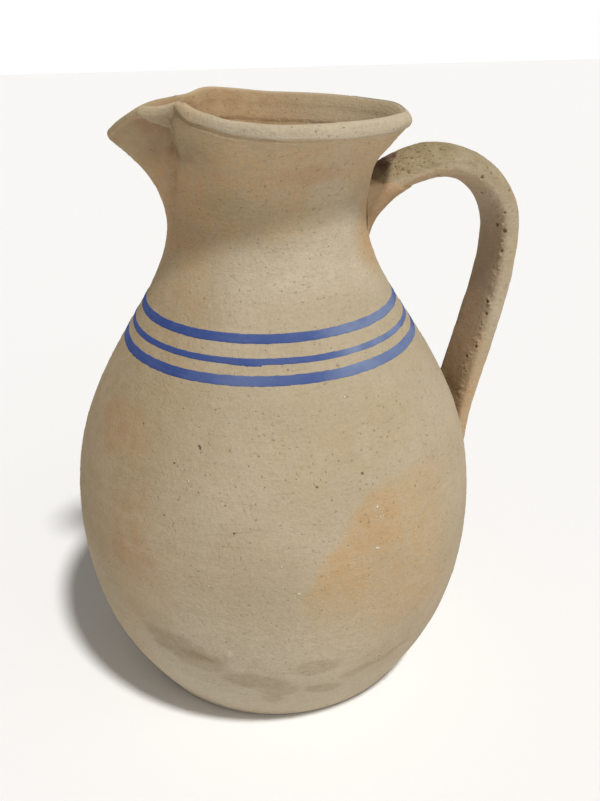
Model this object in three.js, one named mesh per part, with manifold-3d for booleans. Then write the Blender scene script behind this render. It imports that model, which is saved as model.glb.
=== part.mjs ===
// A wheel-thrown clay pouring jug: a waisted vessel with a lip band, a luted beak spout, a pulled
// strap handle on a wedge of joining clay, and three brushed slip bands round the shoulder.
// Millimetres and degrees, +Z up. The origin is the centre of the foot, where the jug stands.
// The spout points towards -X and the handle stands out towards +X.
import * as THREE from "three";
import { mergeVertices } from "three/addons/utils/BufferGeometryUtils.js";
import Module from "manifold-3d";

const wasm = await Module();
wasm.setup();

// Vessel heights, stacked from the table up.
const BELLY_HEIGHT = 87.2; // table to the widest ring
const SHOULDER_RISE = 138.8; // widest ring to the narrowest ring of the neck
const MOUTH_RISE = 39.4; // narrowest ring to the lower edge of the lip band
const LIP_BAND_HEIGHT = 4.6; // lower edge of the lip band to its crest

// Vessel radii, outside.
const FOOT_RADIUS = 68.8;
const BELLY_RADIUS = 95;
const NECK_RADIUS = 43;
const LIP_RADIUS = 60.9;

// How the outline leaves each ring: its slope at the foot and the lip, and the reach of each curve.
const FOOT_SLOPE = 60;
const LIP_SLOPE = 49.4;
const FOOT_REACH = 22.2;
const BELLY_REACH_DOWN = 47.4;
const BELLY_REACH_UP = 70.8;
const NECK_REACH_DOWN = 40.8;
const NECK_REACH_UP = 20;
const LIP_REACH = 6.8;

// The wall.
const WALL = 6;
const FLOOR_THICKNESS = 9;
const FLOOR_BEND = 16; // how far the inside floor curves up into the wall
const LIP_LEAN = 2.1; // how far the crest stands in from the lower edge of the lip band
const LIP_BULGE = 1.2; // how far the face of the lip band swells

// The rim and the spout, pinched and pulled while the clay was soft.
const PULL_DEPTH = 52.6; // crest of the lip down to where the pulling starts
const PULL_EASE = 1.26; // more than 1 lets the pull start gently
const CREASE_ANGLE = 28.2; // from the spout's middle to each crease
const PINCH_ANGLE = 87.9; // from the spout's middle to where the rim starts to draw in
const PINCH_DEPTH = 16.8; // how far each crease is pressed in
const PINCH_EASE = 1.1;
const BEAK_REACH = 22.3; // how far the tip stands out from the drawn-in rim
const BEAK_DROOP = 12; // how far the tip hangs
const BEAK_ROUNDNESS = 1.32; // 1 is a straight-sided point, and more is blunter
const BEAK_FOOT_DEPTH = 34; // crest of the lip down to the lower edge of the luted beak

// How the rim is out of true.
const RIM_CLIMB = 3.7; // up towards the spout
const RIM_LEAN = 1.1; // up towards -Y
const RIM_EGG = -0.4; // out of round
const RIM_SAG = 1.05; // up at the spout and the back, down at both sides
const RIM_WAVE = 0.75;
const RIM_LIFT = 2.4; // how far the rim is pushed up beside each crease
const RIM_LIFT_ANGLE = 64.9;
const RIM_LIFT_SPREAD = 13.6;

// The strap handle: its middle line leaves the neck, arches over and comes down to the belly.
const HANDLE_TURN = 12.6; // how far the handle is set round from straight behind the spout
const ROOT_DEPTH = 38.3; // lower edge of the lip band down to the middle of the upper root
const ROOT_SINK = 3; // how far the strap's middle line starts inside the neck's outside
const ROOT_SLOPE = 18;
const ROOT_REACH = 16.6;
const ARCH_RISE = 13.7; // upper root to the top of the arch
const ARCH_OUT = 38.7; // neck to the top of the arch
const ARCH_REACH_IN = 13.8;
const ARCH_REACH_OUT = 18.2;
const GRIP_OUT = 24.1; // belly's widest ring to the strap's middle line where it stands furthest out
const GRIP_DROP = 35.8; // top of the arch down to there
const GRIP_REACH_UP = 19.3;
const GRIP_REACH_DOWN = 38.6;
const TAIL_HEIGHT = 100.6; // table to where the tail lies on the belly
const TAIL_PROUD = 2.7; // the strap's middle line outside the belly there
const TAIL_SLOPE = 5.2; // from upright
const TAIL_REACH = 32.2;
const SMEAR_LENGTH = 24; // the tail's end below that, smeared into the wall
const SMEAR_SINK = 4.5; // the strap's middle line inside the belly at its very end
const STRAP_SQUARENESS = 2.5; // 2 is an oval section

// The strap's thickness and width at its root, arch, grip, tail and smeared end.
const STRAP_THICKNESS = [17.1, 15.2, 12.5, 11.8, 6.5];
const STRAP_WIDTH = [26.9, 25.8, 24.4, 29.5, 27];

// The wedge of joining clay in the corner under the upper root.
const WEB_REACH = 24; // out along the strap from the neck
const WEB_DROP = 30; // down the neck from the strap's middle line
const WEB_WIDTH = 18;
const WEB_EDGE = 3; // rounding of its free edges

// The slip bands.
const BAND_THICKNESS = 0.6;
const UPPER_BAND_DEPTH = 37.8; // narrowest ring of the neck down to the middle of the band
const MIDDLE_BAND_DEPTH = 45.7;
const LOWER_BAND_DEPTH = 52.2;
const UPPER_BAND_WIDTH = 3.4;
const MIDDLE_BAND_WIDTH = 2.2;
const LOWER_BAND_WIDTH = 3.6;

const CLEARANCE = 0.3; // between neighbouring pieces

// How finely the pieces are faceted.
const BEAK_COLUMNS = 7; // on each side of the spout's middle
const PINCH_COLUMNS = 8; // on each side
const BACK_COLUMNS = 26;
const CURVE_STEPS = 8; // along each curve of the outline
const LIP_STEPS = 4;
const STRAP_STEPS = [6, 8, 12, 4]; // along each curve of the strap
const STRAP_SIDES = 16;

const radians = THREE.MathUtils.degToRad;

const neckHeight = BELLY_HEIGHT + SHOULDER_RISE;
const lipHeight = neckHeight + MOUTH_RISE;
const crestHeight = lipHeight + LIP_BAND_HEIGHT;
const crestRadius = LIP_RADIUS - LIP_LEAN;

const CLAY = { color: 0xa8977a, roughness: 0.92, metalness: 0 };
const SLIP = { color: 0x3c50a0, roughness: 0.8, metalness: 0 };

// Vectors in the plane of an outline are (radius, height).
function at(radius, height) {
  return new THREE.Vector2(radius, height);
}

function along(degrees, reach) {
  return at(Math.cos(radians(degrees)), Math.sin(radians(degrees))).multiplyScalar(reach);
}

// A curve from one point to another that leaves and arrives along the given arms.
function arc(from, leaving, arriving, to) {
  return new THREE.CubicBezierCurve(from, from.clone().add(leaving), to.clone().sub(arriving), to);
}

// The outside of the vessel: foot to belly, belly to neck, neck to the lip band.
const foot = at(FOOT_RADIUS, 0);
const belly = at(BELLY_RADIUS, BELLY_HEIGHT);
const neck = at(NECK_RADIUS, neckHeight);
const lip = at(LIP_RADIUS, lipHeight);
const outlineCurves = [
  arc(foot, along(FOOT_SLOPE, FOOT_REACH), at(0, BELLY_REACH_DOWN), belly),
  arc(belly, at(0, BELLY_REACH_UP), at(0, NECK_REACH_DOWN), neck),
  arc(neck, at(0, NECK_REACH_UP), along(LIP_SLOPE, LIP_REACH), lip),
];

// A point of a curve, moved off to its right by a distance.
function beside(curve, share, distance) {
  const tangent = curve.getTangent(share);
  return curve.getPoint(share).add(at(tangent.y, -tangent.x).multiplyScalar(distance));
}

// The outside from foot to lip, moved outwards by a distance, or inwards where that is negative.
function outline(distance) {
  const points = [beside(outlineCurves[0], 0, distance)];
  for (const curve of outlineCurves)
    for (let step = 1; step <= CURVE_STEPS; step++) points.push(beside(curve, step / CURVE_STEPS, distance));
  return points;
}

// The outline at a height, moved outwards by a distance.
function surfaceAt(height, distance) {
  const index = height < BELLY_HEIGHT ? 0 : height < neckHeight ? 1 : 2;
  let low = 0;
  let high = 1;
  for (let halving = 0; halving < 30; halving++) {
    const middle = (low + high) / 2;
    if (outlineCurves[index].getPoint(middle).y < height) low = middle;
    else high = middle;
  }
  return beside(outlineCurves[index], low, distance);
}

// The angle of each column of facets from the spout's middle, closest together at the beak.
function columnAngles() {
  const angles = [];
  const fill = (count, from, to) => {
    for (let k = 0; k < count; k++) angles.push(radians(from + ((to - from) * k) / count));
  };
  fill(BEAK_COLUMNS, 0, CREASE_ANGLE);
  fill(PINCH_COLUMNS, CREASE_ANGLE, PINCH_ANGLE);
  fill(BACK_COLUMNS, PINCH_ANGLE, 360 - PINCH_ANGLE);
  fill(PINCH_COLUMNS, 360 - PINCH_ANGLE, 360 - CREASE_ANGLE);
  fill(BEAK_COLUMNS, 360 - CREASE_ANGLE, 360);
  return angles;
}
const columns = columnAngles();

// Where a thrown point ends up after the rim is pinched and the spout pulled. The angle is from
// the spout's middle.
function pulled(radius, height, angle) {
  const off = Math.abs(Math.atan2(Math.sin(angle), Math.cos(angle)));
  const up = THREE.MathUtils.clamp(1 - (crestHeight - height) / PULL_DEPTH, 0, 1);
  const give = up ** PULL_EASE;
  const pinching = THREE.MathUtils.clamp(
    (radians(PINCH_ANGLE) - off) / radians(PINCH_ANGLE - CREASE_ANGLE), 0, 1) ** PINCH_EASE;
  const beak = 1 - Math.min(off / radians(CREASE_ANGLE), 1) ** BEAK_ROUNDNESS;
  const lift = Math.exp(-(((off - radians(RIM_LIFT_ANGLE)) / radians(RIM_LIFT_SPREAD)) ** 2));
  const egg = RIM_EGG * Math.cos(3 * off);
  const r = radius + up * egg + give * (BEAK_REACH * beak - PINCH_DEPTH * pinching);
  const x = -r * Math.cos(angle);
  const y = -r * Math.sin(angle);
  const tilt = (-RIM_CLIMB * x - RIM_LEAN * y) / LIP_RADIUS;
  const wave = RIM_SAG * Math.cos(2 * off) + RIM_WAVE * Math.cos(3 * off);
  const rise = up * (tilt + wave + RIM_LIFT * lift);
  return new THREE.Vector3(x, y, height + rise - give * BEAK_DROOP * beak);
}

// A solid from a closed three.js geometry.
function solid(geometry) {
  const bare = geometry.clone();
  bare.deleteAttribute("normal");
  bare.deleteAttribute("uv");
  const merged = mergeVertices(bare, 1e-4);
  const corners = merged.index.array;
  const kept = [];
  for (let k = 0; k < corners.length; k += 3) {
    const [a, b, c] = corners.subarray(k, k + 3);
    if (a !== b && b !== c && c !== a) kept.push(a, b, c);
  }
  return new wasm.Manifold(
    new wasm.Mesh({
      numProp: 3,
      vertProperties: merged.getAttribute("position").array,
      triVerts: new Uint32Array(kept),
    }),
  );
}

// Thrown on the wheel from an outline and then pulled.
function thrown(outlinePoints) {
  const lathe = new THREE.LatheGeometry(outlinePoints, columns.length);
  const position = lathe.getAttribute("position");
  for (let k = 0; k < position.count; k++) {
    const point = outlinePoints[k % outlinePoints.length];
    const column = Math.floor(k / outlinePoints.length) % columns.length;
    if (point.x === 0) position.setXYZ(k, 0, 0, point.y);
    else position.setXYZ(k, ...pulled(point.x, point.y, columns[column]));
  }
  return solid(lathe);
}

// The wall of the vessel with its pulled spout: up the outside, over the lip, down the inside.
function vessel() {
  const crest = at(crestRadius, crestHeight);
  const band = new THREE.CubicBezierCurve(
    lip, at(LIP_RADIUS + LIP_BULGE, lipHeight + LIP_BAND_HEIGHT / 2), at(crestRadius + LIP_LEAN / 2, crestHeight), crest);
  const inside = outline(-WALL).reverse();
  const wall = inside.filter((point) => point.y > FLOOR_THICKNESS + FLOOR_BEND && point.y < crestHeight - LIP_LEAN / 2);
  const low = wall.at(-1);
  const floor = new THREE.QuadraticBezierCurve(
    low, at(low.x - FLOOR_BEND / 2, FLOOR_THICKNESS), at(low.x - FLOOR_BEND * 2, FLOOR_THICKNESS));
  return thrown([
    at(0, 0),
    ...outline(0),
    ...band.getPoints(LIP_STEPS).slice(1),
    ...wall,
    ...floor.getPoints(LIP_STEPS).slice(1),
    at(0, FLOOR_THICKNESS),
  ]);
}

// All that lies inside the vessel's outside, moved outwards by a distance.
function envelope(distance) {
  const side = outline(distance);
  return thrown([at(0, -distance), at(side[0].x, -distance), ...side, at(0, side.at(-1).y)]);
}

// The block that parts the beak from the vessel: the sector between the creases, from the beak's
// lower edge up, drawn in on every side by a distance.
function beakSector(distance) {
  const reach = LIP_RADIUS + BEAK_REACH * 2;
  const half = radians(CREASE_ANGLE);
  const point = distance / Math.sin(half);
  const side = (reach - point) * Math.tan(half);
  const plan = new THREE.Shape([at(-point, 0), at(-reach, -side), at(-reach, side)]);
  const block = new THREE.ExtrudeGeometry(plan, { depth: PULL_DEPTH * 2, bevelEnabled: false });
  block.translate(0, 0, crestHeight - BEAK_FOOT_DEPTH + distance);
  return solid(block);
}

// The strap's middle line, in the plane of the handle.
const root = at(NECK_RADIUS - ROOT_SINK, lipHeight - ROOT_DEPTH);
const arch = at(NECK_RADIUS + ARCH_OUT, root.y + ARCH_RISE);
const grip = at(BELLY_RADIUS + GRIP_OUT, arch.y - GRIP_DROP);
const tail = surfaceAt(TAIL_HEIGHT, TAIL_PROUD);
const smear = surfaceAt(TAIL_HEIGHT - SMEAR_LENGTH, -SMEAR_SINK);
const strapCurves = [
  arc(root, along(ROOT_SLOPE, ROOT_REACH), at(ARCH_REACH_IN, 0), arch),
  arc(arch, at(ARCH_REACH_OUT, 0), at(0, -GRIP_REACH_UP), grip),
  arc(grip, at(0, -GRIP_REACH_DOWN), along(-90 - TAIL_SLOPE, TAIL_REACH), tail),
  new THREE.QuadraticBezierCurve(tail, tail.clone().add(along(-90 - TAIL_SLOPE, SMEAR_LENGTH / 2)), smear),
];

// A closed solid through equal rings of points, with a flat cap on each end.
function loft(rings) {
  const sides = rings[0].length;
  const position = rings.flat().flatMap((point) => point.toArray());
  const index = [];
  for (let ring = 0; ring + 1 < rings.length; ring++)
    for (let side = 0; side < sides; side++) {
      const next = (side + 1) % sides;
      const [a, b, c, d] = [side, next, side + sides, next + sides].map((k) => k + ring * sides);
      index.push(a, c, b, b, c, d);
    }
  const last = (rings.length - 1) * sides;
  for (let side = 1; side + 1 < sides; side++) {
    index.push(0, side, side + 1);
    index.push(last, last + side + 1, last + side);
  }
  const geometry = new THREE.BufferGeometry();
  geometry.setAttribute("position", new THREE.Float32BufferAttribute(position, 3));
  geometry.setIndex(index);
  return geometry;
}

// The strap's section at a point of its middle line, from half its thickness and half its width.
function strapRing(middle, tangent, halfThickness, halfWidth) {
  const squared = (value) => Math.sign(value) * Math.abs(value) ** (2 / STRAP_SQUARENESS);
  const ring = [];
  for (let side = 0; side < STRAP_SIDES; side++) {
    const turn = (2 * Math.PI * side) / STRAP_SIDES;
    const out = halfThickness * squared(Math.cos(turn));
    const across = halfWidth * squared(Math.sin(turn));
    ring.push(new THREE.Vector3(middle.x - tangent.y * out, across, middle.y + tangent.x * out));
  }
  return ring;
}

// The strap, grown on all sides by a distance.
function strap(distance) {
  const rings = [];
  strapCurves.forEach((curve, part) => {
    const steps = STRAP_STEPS[part];
    for (let step = part === 0 ? 0 : 1; step <= steps; step++) {
      const share = step / steps;
      const half = (sizes) => THREE.MathUtils.lerp(sizes[part], sizes[part + 1], share) / 2 + distance;
      rings.push(strapRing(curve.getPointAt(share), curve.getTangentAt(share), half(STRAP_THICKNESS), half(STRAP_WIDTH)));
    }
  });
  return solid(loft(rings).rotateZ(radians(HANDLE_TURN)));
}

// The wedge of clay, before the neck and the strap are taken out of it.
function wedge() {
  const low = surfaceAt(root.y - WEB_DROP, 0);
  const out = at(NECK_RADIUS + WEB_REACH, arch.y - STRAP_THICKNESS[1] / 2);
  const side = new THREE.Shape();
  side.moveTo(low.x, low.y);
  side.quadraticCurveTo(NECK_RADIUS + WEB_EDGE, root.y - STRAP_THICKNESS[0] / 2, out.x, out.y);
  side.lineTo(out.x, arch.y);
  side.lineTo(root.x, root.y);
  side.lineTo(root.x - WALL / 2, low.y);
  const block = new THREE.ExtrudeGeometry(side, {
    depth: WEB_WIDTH - 2 * WEB_EDGE,
    bevelThickness: WEB_EDGE,
    bevelSize: WEB_EDGE,
    bevelOffset: -WEB_EDGE,
    bevelSegments: 2,
    curveSegments: 10,
  });
  block.translate(0, 0, WEB_EDGE - WEB_WIDTH / 2);
  block.rotateX(Math.PI / 2);
  block.rotateZ(radians(HANDLE_TURN));
  return solid(block);
}

// One ring of slip on the shoulder.
function slipBand(depth, width) {
  const edges = [neckHeight - depth - width / 2, neckHeight - depth + width / 2];
  const outer = edges.map((height) => surfaceAt(height, CLEARANCE + BAND_THICKNESS));
  const inner = edges.map((height) => surfaceAt(height, CLEARANCE)).reverse();
  return thrown([...outer, ...inner, outer[0]]);
}

function piece(name, body, look) {
  const { vertProperties, triVerts } = body.getMesh();
  const geometry = new THREE.BufferGeometry();
  geometry.setAttribute("position", new THREE.BufferAttribute(vertProperties, 3));
  geometry.setIndex(new THREE.BufferAttribute(triVerts, 1));
  geometry.computeVertexNormals();
  const mesh = new THREE.Mesh(geometry, new THREE.MeshStandardMaterial(look));
  mesh.name = name;
  return mesh;
}

const wall = vessel();
const clearOfVessel = envelope(CLEARANCE);
const jug = new THREE.Group();
jug.add(
  piece("body", wall.subtract(beakSector(0)), CLAY),
  piece("spout", wall.intersect(beakSector(CLEARANCE)), CLAY),
  piece("handle", strap(0).subtract(clearOfVessel), CLAY),
  piece("handle_web", wedge().subtract(clearOfVessel).subtract(strap(CLEARANCE)), CLAY),
  piece("slip_band_upper", slipBand(UPPER_BAND_DEPTH, UPPER_BAND_WIDTH), SLIP),
  piece("slip_band_middle", slipBand(MIDDLE_BAND_DEPTH, MIDDLE_BAND_WIDTH), SLIP),
  piece("slip_band_lower", slipBand(LOWER_BAND_DEPTH, LOWER_BAND_WIDTH), SLIP),
);

export default jug;
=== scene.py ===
"""The looks of the clay jug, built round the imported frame.

Shapes are worked out in millimetres with the same named sizes as the part, and put into Blender in
metres. The spout points towards -X, the handle stands out towards +X, and the jug stands on z = 0.
"""

import math

import bpy
import numpy as np
from mathutils import Matrix, Vector


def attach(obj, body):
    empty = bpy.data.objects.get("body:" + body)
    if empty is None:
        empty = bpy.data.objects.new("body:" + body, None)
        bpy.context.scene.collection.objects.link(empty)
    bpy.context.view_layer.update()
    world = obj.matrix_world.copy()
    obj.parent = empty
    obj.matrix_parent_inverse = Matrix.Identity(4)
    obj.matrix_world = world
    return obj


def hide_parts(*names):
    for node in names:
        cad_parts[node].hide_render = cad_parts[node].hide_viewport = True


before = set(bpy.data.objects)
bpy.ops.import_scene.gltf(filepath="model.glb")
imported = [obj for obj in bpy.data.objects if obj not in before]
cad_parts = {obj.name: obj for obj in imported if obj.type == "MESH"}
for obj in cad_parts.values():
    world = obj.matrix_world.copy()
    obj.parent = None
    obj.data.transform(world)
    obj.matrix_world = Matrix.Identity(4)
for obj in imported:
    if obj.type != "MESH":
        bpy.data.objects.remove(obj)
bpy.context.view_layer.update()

# Sizes of the vessel, in millimetres and radians.
BELLY_HEIGHT = 87.2
NECK_HEIGHT = 226.0
LIP_HEIGHT = 265.4
CREST_HEIGHT = 270.0
FOOT_RADIUS = 68.8
BELLY_RADIUS = 95.0
NECK_RADIUS = 43.0
LIP_RADIUS = 60.9
FOOT_SLOPE = math.radians(60)
LIP_SLOPE = math.radians(49.4)
FOOT_REACH = 22.2
BELLY_REACH_DOWN = 47.4
BELLY_REACH_UP = 70.8
NECK_REACH_DOWN = 40.8
NECK_REACH_UP = 20.0
LIP_REACH = 6.8
WALL = 6.0
FLOOR_THICKNESS = 9.0

# The pull of the rim and the spout.
PULL_DEPTH = 52.6
PULL_EASE = 1.26
CREASE = math.radians(28.2)
PINCH = math.radians(87.9)
PINCH_DEPTH = 16.8
PINCH_EASE = 1.1
BEAK_REACH = 22.3
BEAK_DROOP = 12.0
BEAK_ROUNDNESS = 1.32
BEAK_FOOT = CREST_HEIGHT - 34.0
RIM_CLIMB = 3.7
RIM_LEAN = 1.1
RIM_EGG = -0.4
RIM_SAG = 1.05
RIM_WAVE = 0.75
RIM_LIFT = 2.4
RIM_LIFT_ANGLE = math.radians(64.9)
RIM_LIFT_SPREAD = math.radians(13.6)

# The strap.
HANDLE_TURN = math.radians(12.6)
ROOT = (40.0, 227.1)
ROOT_SLOPE = math.radians(18)
ROOT_TRIM = 1.5
ARCH = (81.7, 240.8)
GRIP = (119.1, 205.0)
TAIL_HEIGHT = 100.6
TAIL_PROUD = 2.7
TAIL_SLOPE = math.radians(-95.2)
SMEAR_LENGTH = 24.0
SMEAR_SINK = 4.5
STRAP_THICKNESS = [17.1, 15.2, 12.5, 11.8, 6.5]
STRAP_WIDTH = [26.9, 25.8, 24.4, 29.5, 27.0]

# Middle height and width of each slip band.
BANDS = {
    "slip_band_upper": (188.2, 3.5),
    "slip_band_middle": (180.3, 2.3),
    "slip_band_lower": (173.8, 3.7),
}

# The lip band: heights of its seam with the wall, of its full lower edge and of its top.
BAND_SEAM = 262.2
BAND_EDGE = 264.35
BAND_TOP = 270.05

# How fine the meshes are: gaps between rows, and numbers of columns, rings and sides.
COARSE_GAP = 0.85
MIDDLE_GAP = 0.5
FINE_GAP = 0.28
LIP_GAP = 0.17
INSIDE_GAP = 0.8
DEEP_GAP = 2.4
BEAK_STEPS = 100
BACK_STEPS = 600
STRAP_RINGS = 560
STRAP_SIDES = 190
WEB_RINGS = 150
WEB_SIDES = 90
SLIP_STEPS = 1200
SLIP_ROWS = 9

# The camera: its place in metres, its turns in radians, and its lens in pixels of the picture.
CAMERA_PLACE = (-0.03759, -0.37613, 0.31917)
CAMERA_PITCH = 0.4572
CAMERA_YAW = 0.0352
CAMERA_ROLL = -0.0137
CAMERA_TURN = -0.0996
FOCAL_PIXELS = 875.5557
PICTURE_HEIGHT = 801
SENSOR = 36

MILLIMETRE = 0.001


# Numbers that vary smoothly through space.

def lattice(i, j, k):
    h = (i * 73856093) ^ (j * 19349663) ^ (k * 83492791)
    h = ((h ^ (h >> 13)) & 0x7FFFFFFF) * 1274126177 & 0x7FFFFFFF
    h = (h ^ (h >> 15)) * 2246822519 & 0x7FFFFFFF
    return ((h ^ (h >> 14)) & 65535) / 32768.0 - 1.0


def noise(points, size, seed=0):
    """Smooth noise from -1 to 1 with features about size across. size may differ by axis."""
    q = points / np.asarray(size, float) + 37.17 * seed + 1000
    cell = np.floor(q).astype(np.int64)
    f = q - cell
    f = f * f * f * (f * (f * 6 - 15) + 10)
    total = 0
    for corner in np.ndindex(2, 2, 2):
        weight = 1
        for axis in range(3):
            weight = weight * (f[..., axis] if corner[axis] else 1 - f[..., axis])
        total = total + weight * lattice(*(cell[..., axis] + corner[axis] for axis in range(3)))
    return total


def step(low, high, x):
    """Rises smoothly from 0 at low to 1 at high, which may be the smaller one."""
    t = np.clip((x - low) / (high - low), 0, 1)
    return t * t * (3 - 2 * t)


def bump(x, middle, spread):
    return np.exp(-(((x - middle) / spread) ** 2))


def bezier(p0, leave, arrive, p3, count):
    p0, leave, arrive, p3 = (np.array(v, float) for v in (p0, leave, arrive, p3))
    t = np.linspace(0, 1, count)[:, None]
    p1, p2 = p0 + leave, p3 - arrive
    return (1 - t) ** 3 * p0 + 3 * (1 - t) ** 2 * t * p1 + 3 * (1 - t) * t * t * p2 + t ** 3 * p3


def heading(angle, reach):
    return np.array([math.cos(angle), math.sin(angle)]) * reach


def lengths_along(points):
    """How far each point of a polyline is from its start, along the line."""
    return np.concatenate([[0], np.cumsum(np.linalg.norm(np.diff(points, axis=0), axis=1))])


def respaced(points, gap):
    """The polyline's points again, an even gap apart."""
    length = lengths_along(points)
    count = max(2, int(round(length[-1] / gap)) + 1)
    at = np.linspace(0, length[-1], count)
    return np.stack([np.interp(at, length, points[:, k]) for k in range(points.shape[1])], 1)


def smoothed(points, rounds):
    points = points.copy()
    for _ in range(rounds):
        points[1:-1] = (points[:-2] + 2 * points[1:-1] + points[2:]) / 4
    return points


# The vessel's outline, foot to lip, as (radius, height).
OUTLINE = np.concatenate([
    bezier((FOOT_RADIUS, 0), heading(FOOT_SLOPE, FOOT_REACH), (0, BELLY_REACH_DOWN),
           (BELLY_RADIUS, BELLY_HEIGHT), 300),
    bezier((BELLY_RADIUS, BELLY_HEIGHT), (0, BELLY_REACH_UP), (0, NECK_REACH_DOWN),
           (NECK_RADIUS, NECK_HEIGHT), 400)[1:],
    bezier((NECK_RADIUS, NECK_HEIGHT), (0, NECK_REACH_UP), heading(LIP_SLOPE, LIP_REACH),
           (LIP_RADIUS, LIP_HEIGHT), 200)[1:],
])


def radius_at(height):
    return np.interp(height, OUTLINE[:, 1], OUTLINE[:, 0])


def on_wall(angle, height):
    """The point of the even wall at an angle from the spout and a height."""
    reach = radius_at(height)
    return np.stack([-reach * np.cos(angle), -reach * np.sin(angle), height + angle * 0], -1)


def off_spout(angle):
    return np.abs(np.arctan2(np.sin(angle), np.cos(angle)))


def signed_degrees(angle):
    """Degrees from the spout's middle, above 0 on the near side and below 0 on the far side."""
    return np.degrees(np.arctan2(np.sin(angle), np.cos(angle)))


def pull_at(height):
    """How much of the pull of rim and spout is left at a height, with all of it at the crest."""
    return np.clip(1 - (CREST_HEIGHT - height) / PULL_DEPTH, 0, 1)


def crease_at(height):
    """The angle of the creases beside the beak, which run together on the way down."""
    heights = [244, 247, 252, 257, 262, 266, 270]
    return np.radians(np.interp(height, heights, [12.5, 13.6, 15.9, 18.8, 22, 24.8, 27]))


def swells(x, table):
    """Soft rises and dips along x, each given by how high it is, its middle and its spread."""
    return sum(rise * bump(x, middle, spread) for rise, middle, spread in table)


def hand(angle, height):
    """How far the potter's hand left the rim above or below the even curve on each side."""
    near = signed_degrees(angle)
    beak = swells(near, (
        (3.7, 16, 8.5), (1.3, -17, 7), (-1.1, 0, 4.5), (-1.2, 20.5, 4.5), (-0.6, -28, 4), (-0.8, -35, 5),
    ))
    rim = swells(near, (
        (3.8, 43, 10), (-1.05, 41.5, 5), (-1.3, 69, 8), (0.6, 152, 14),
        (-0.9, -54, 7.5), (-0.7, -43, 6), (1.25, -81, 13),
    ))
    rim = rim + 0.9 * bump(np.where(near > 0, near, near + 360), 189, 14)
    return beak * step(244, 266, height) + rim * step(238, 263, height)


def pulled(radius, height, angle):
    """Where a thrown point ends up after the rim is pinched and the spout pulled."""
    off = off_spout(angle)
    crease = crease_at(height)
    beyond = CREASE + (off - crease) * (PINCH - CREASE) / (PINCH - crease)
    bent = np.where(off < crease, off / crease * CREASE, beyond)
    up = pull_at(height)
    give = up ** PULL_EASE
    pinching = np.clip((PINCH - bent) / (PINCH - CREASE), 0, 1) ** PINCH_EASE
    beak = 1 - np.minimum(bent / CREASE, 1) ** BEAK_ROUNDNESS
    r = radius + up * RIM_EGG * np.cos(3 * off) + give * (BEAK_REACH * beak - PINCH_DEPTH * pinching)
    x = -r * np.cos(angle)
    y = -r * np.sin(angle)
    tilt = (-RIM_CLIMB * x - RIM_LEAN * y) / LIP_RADIUS
    wave = RIM_SAG * np.cos(2 * off) + RIM_WAVE * np.cos(3 * off)
    lift = RIM_LIFT * bump(off, RIM_LIFT_ANGLE, RIM_LIFT_SPREAD)
    z = height + up * (tilt + wave + lift) - give * BEAK_DROOP * beak + hand(angle, height)
    return np.stack([x, y, z], -1)


def relief(points, height):
    """How far the thrown wall stands out of true, and the marks that the fingers left."""
    on_lip = step(263.5, 265.5, height)
    low = 0.22 * noise(points, 52, 1) + 0.10 * noise(points, 17, 2) * (1 - 0.6 * on_lip)
    dents = 0.045 * noise(points, 5, 3) + 0.02 * noise(points, 1.9, 7)
    dents = dents + 0.13 * step(0.45, 0.8, noise(points, 2.2, 41))
    dents = dents - 0.07 * step(0.5, 0.8, noise(points, 1.9, 42))
    turning = height + 1.2 * noise(points, 60, 4) * (1 - on_lip)
    lines = np.stack([turning, turning * 0 + 3.3, turning * 0 + 7.7], -1)
    rings = 0.055 * noise(lines, 2.6, 5) + 0.09 * noise(lines, 9.0, 6)
    under_lip = 0.05 * np.sin(turning * 3.1 + noise(points, 20, 8)) * bump(height, 258.5, 3.2)
    broken = 0.5 + 0.5 * noise(points, (9, 9, 2), 43)
    wavering = height + 0.25 * noise(points, 30, 44)
    for line_height, depth in ((262.9, 0.12), (261.7, 0.16), (260.4, 0.12), (258.9, 0.10), (256.6, 0.06)):
        under_lip = under_lip - depth * bump(wavering, line_height, 0.28) * broken
    streaks = 0.05 * noise(np.stack([turning * 1.9, lines[..., 1], lines[..., 2]], -1), 1.0, 9) * on_lip
    knob_middle = on_wall(1.234, 57.7)
    knob = 0.9 * bump(np.linalg.norm(points - knob_middle, axis=-1), 0, 1.7)
    marks = low + dents * (1 - on_lip) + rings * (1 - on_lip) + under_lip + streaks + knob
    return marks * step(0.0, 6.0, height)


def fold(height, angle):
    """How deep the outside is folded in at the creases beside the beak."""
    far = np.where(np.sin(angle) < 0, 1 - 0.75 * step(256, 266, height), 1)
    off = off_spout(angle)
    crease = crease_at(height)
    beside = 1.9 * bump(off, crease + math.radians(8), math.radians(7))
    beside = beside * step(236, 256, height) * step(269.5, 265, height)
    return 2.4 * pull_at(height) ** 1.8 * far * bump(off, crease, math.radians(5)) + beside


# Meshes.

def grid_faces(rows, columns, wrap):
    """Quads of a grid whose vertex number is row * columns + column."""
    last = columns if wrap else columns - 1
    i, j = np.meshgrid(np.arange(rows - 1), np.arange(last), indexing="ij")
    k = (j + 1) % columns
    return np.stack([i * columns + j, i * columns + k, (i + 1) * columns + k, (i + 1) * columns + j], -1)


def grid_normals(p, wrap_rows=False, wrap_columns=True):
    """Normals of a grid of points, from its neighbours along rows and columns."""
    if wrap_columns:
        along = np.roll(p, -1, 1) - np.roll(p, 1, 1)
    else:
        along = np.gradient(p, axis=1)
    up = np.roll(p, -1, 0) - np.roll(p, 1, 0) if wrap_rows else np.gradient(p, axis=0)
    n = np.cross(along, up)
    return n / (np.linalg.norm(n, axis=-1)[..., None] + 1e-12)


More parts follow.
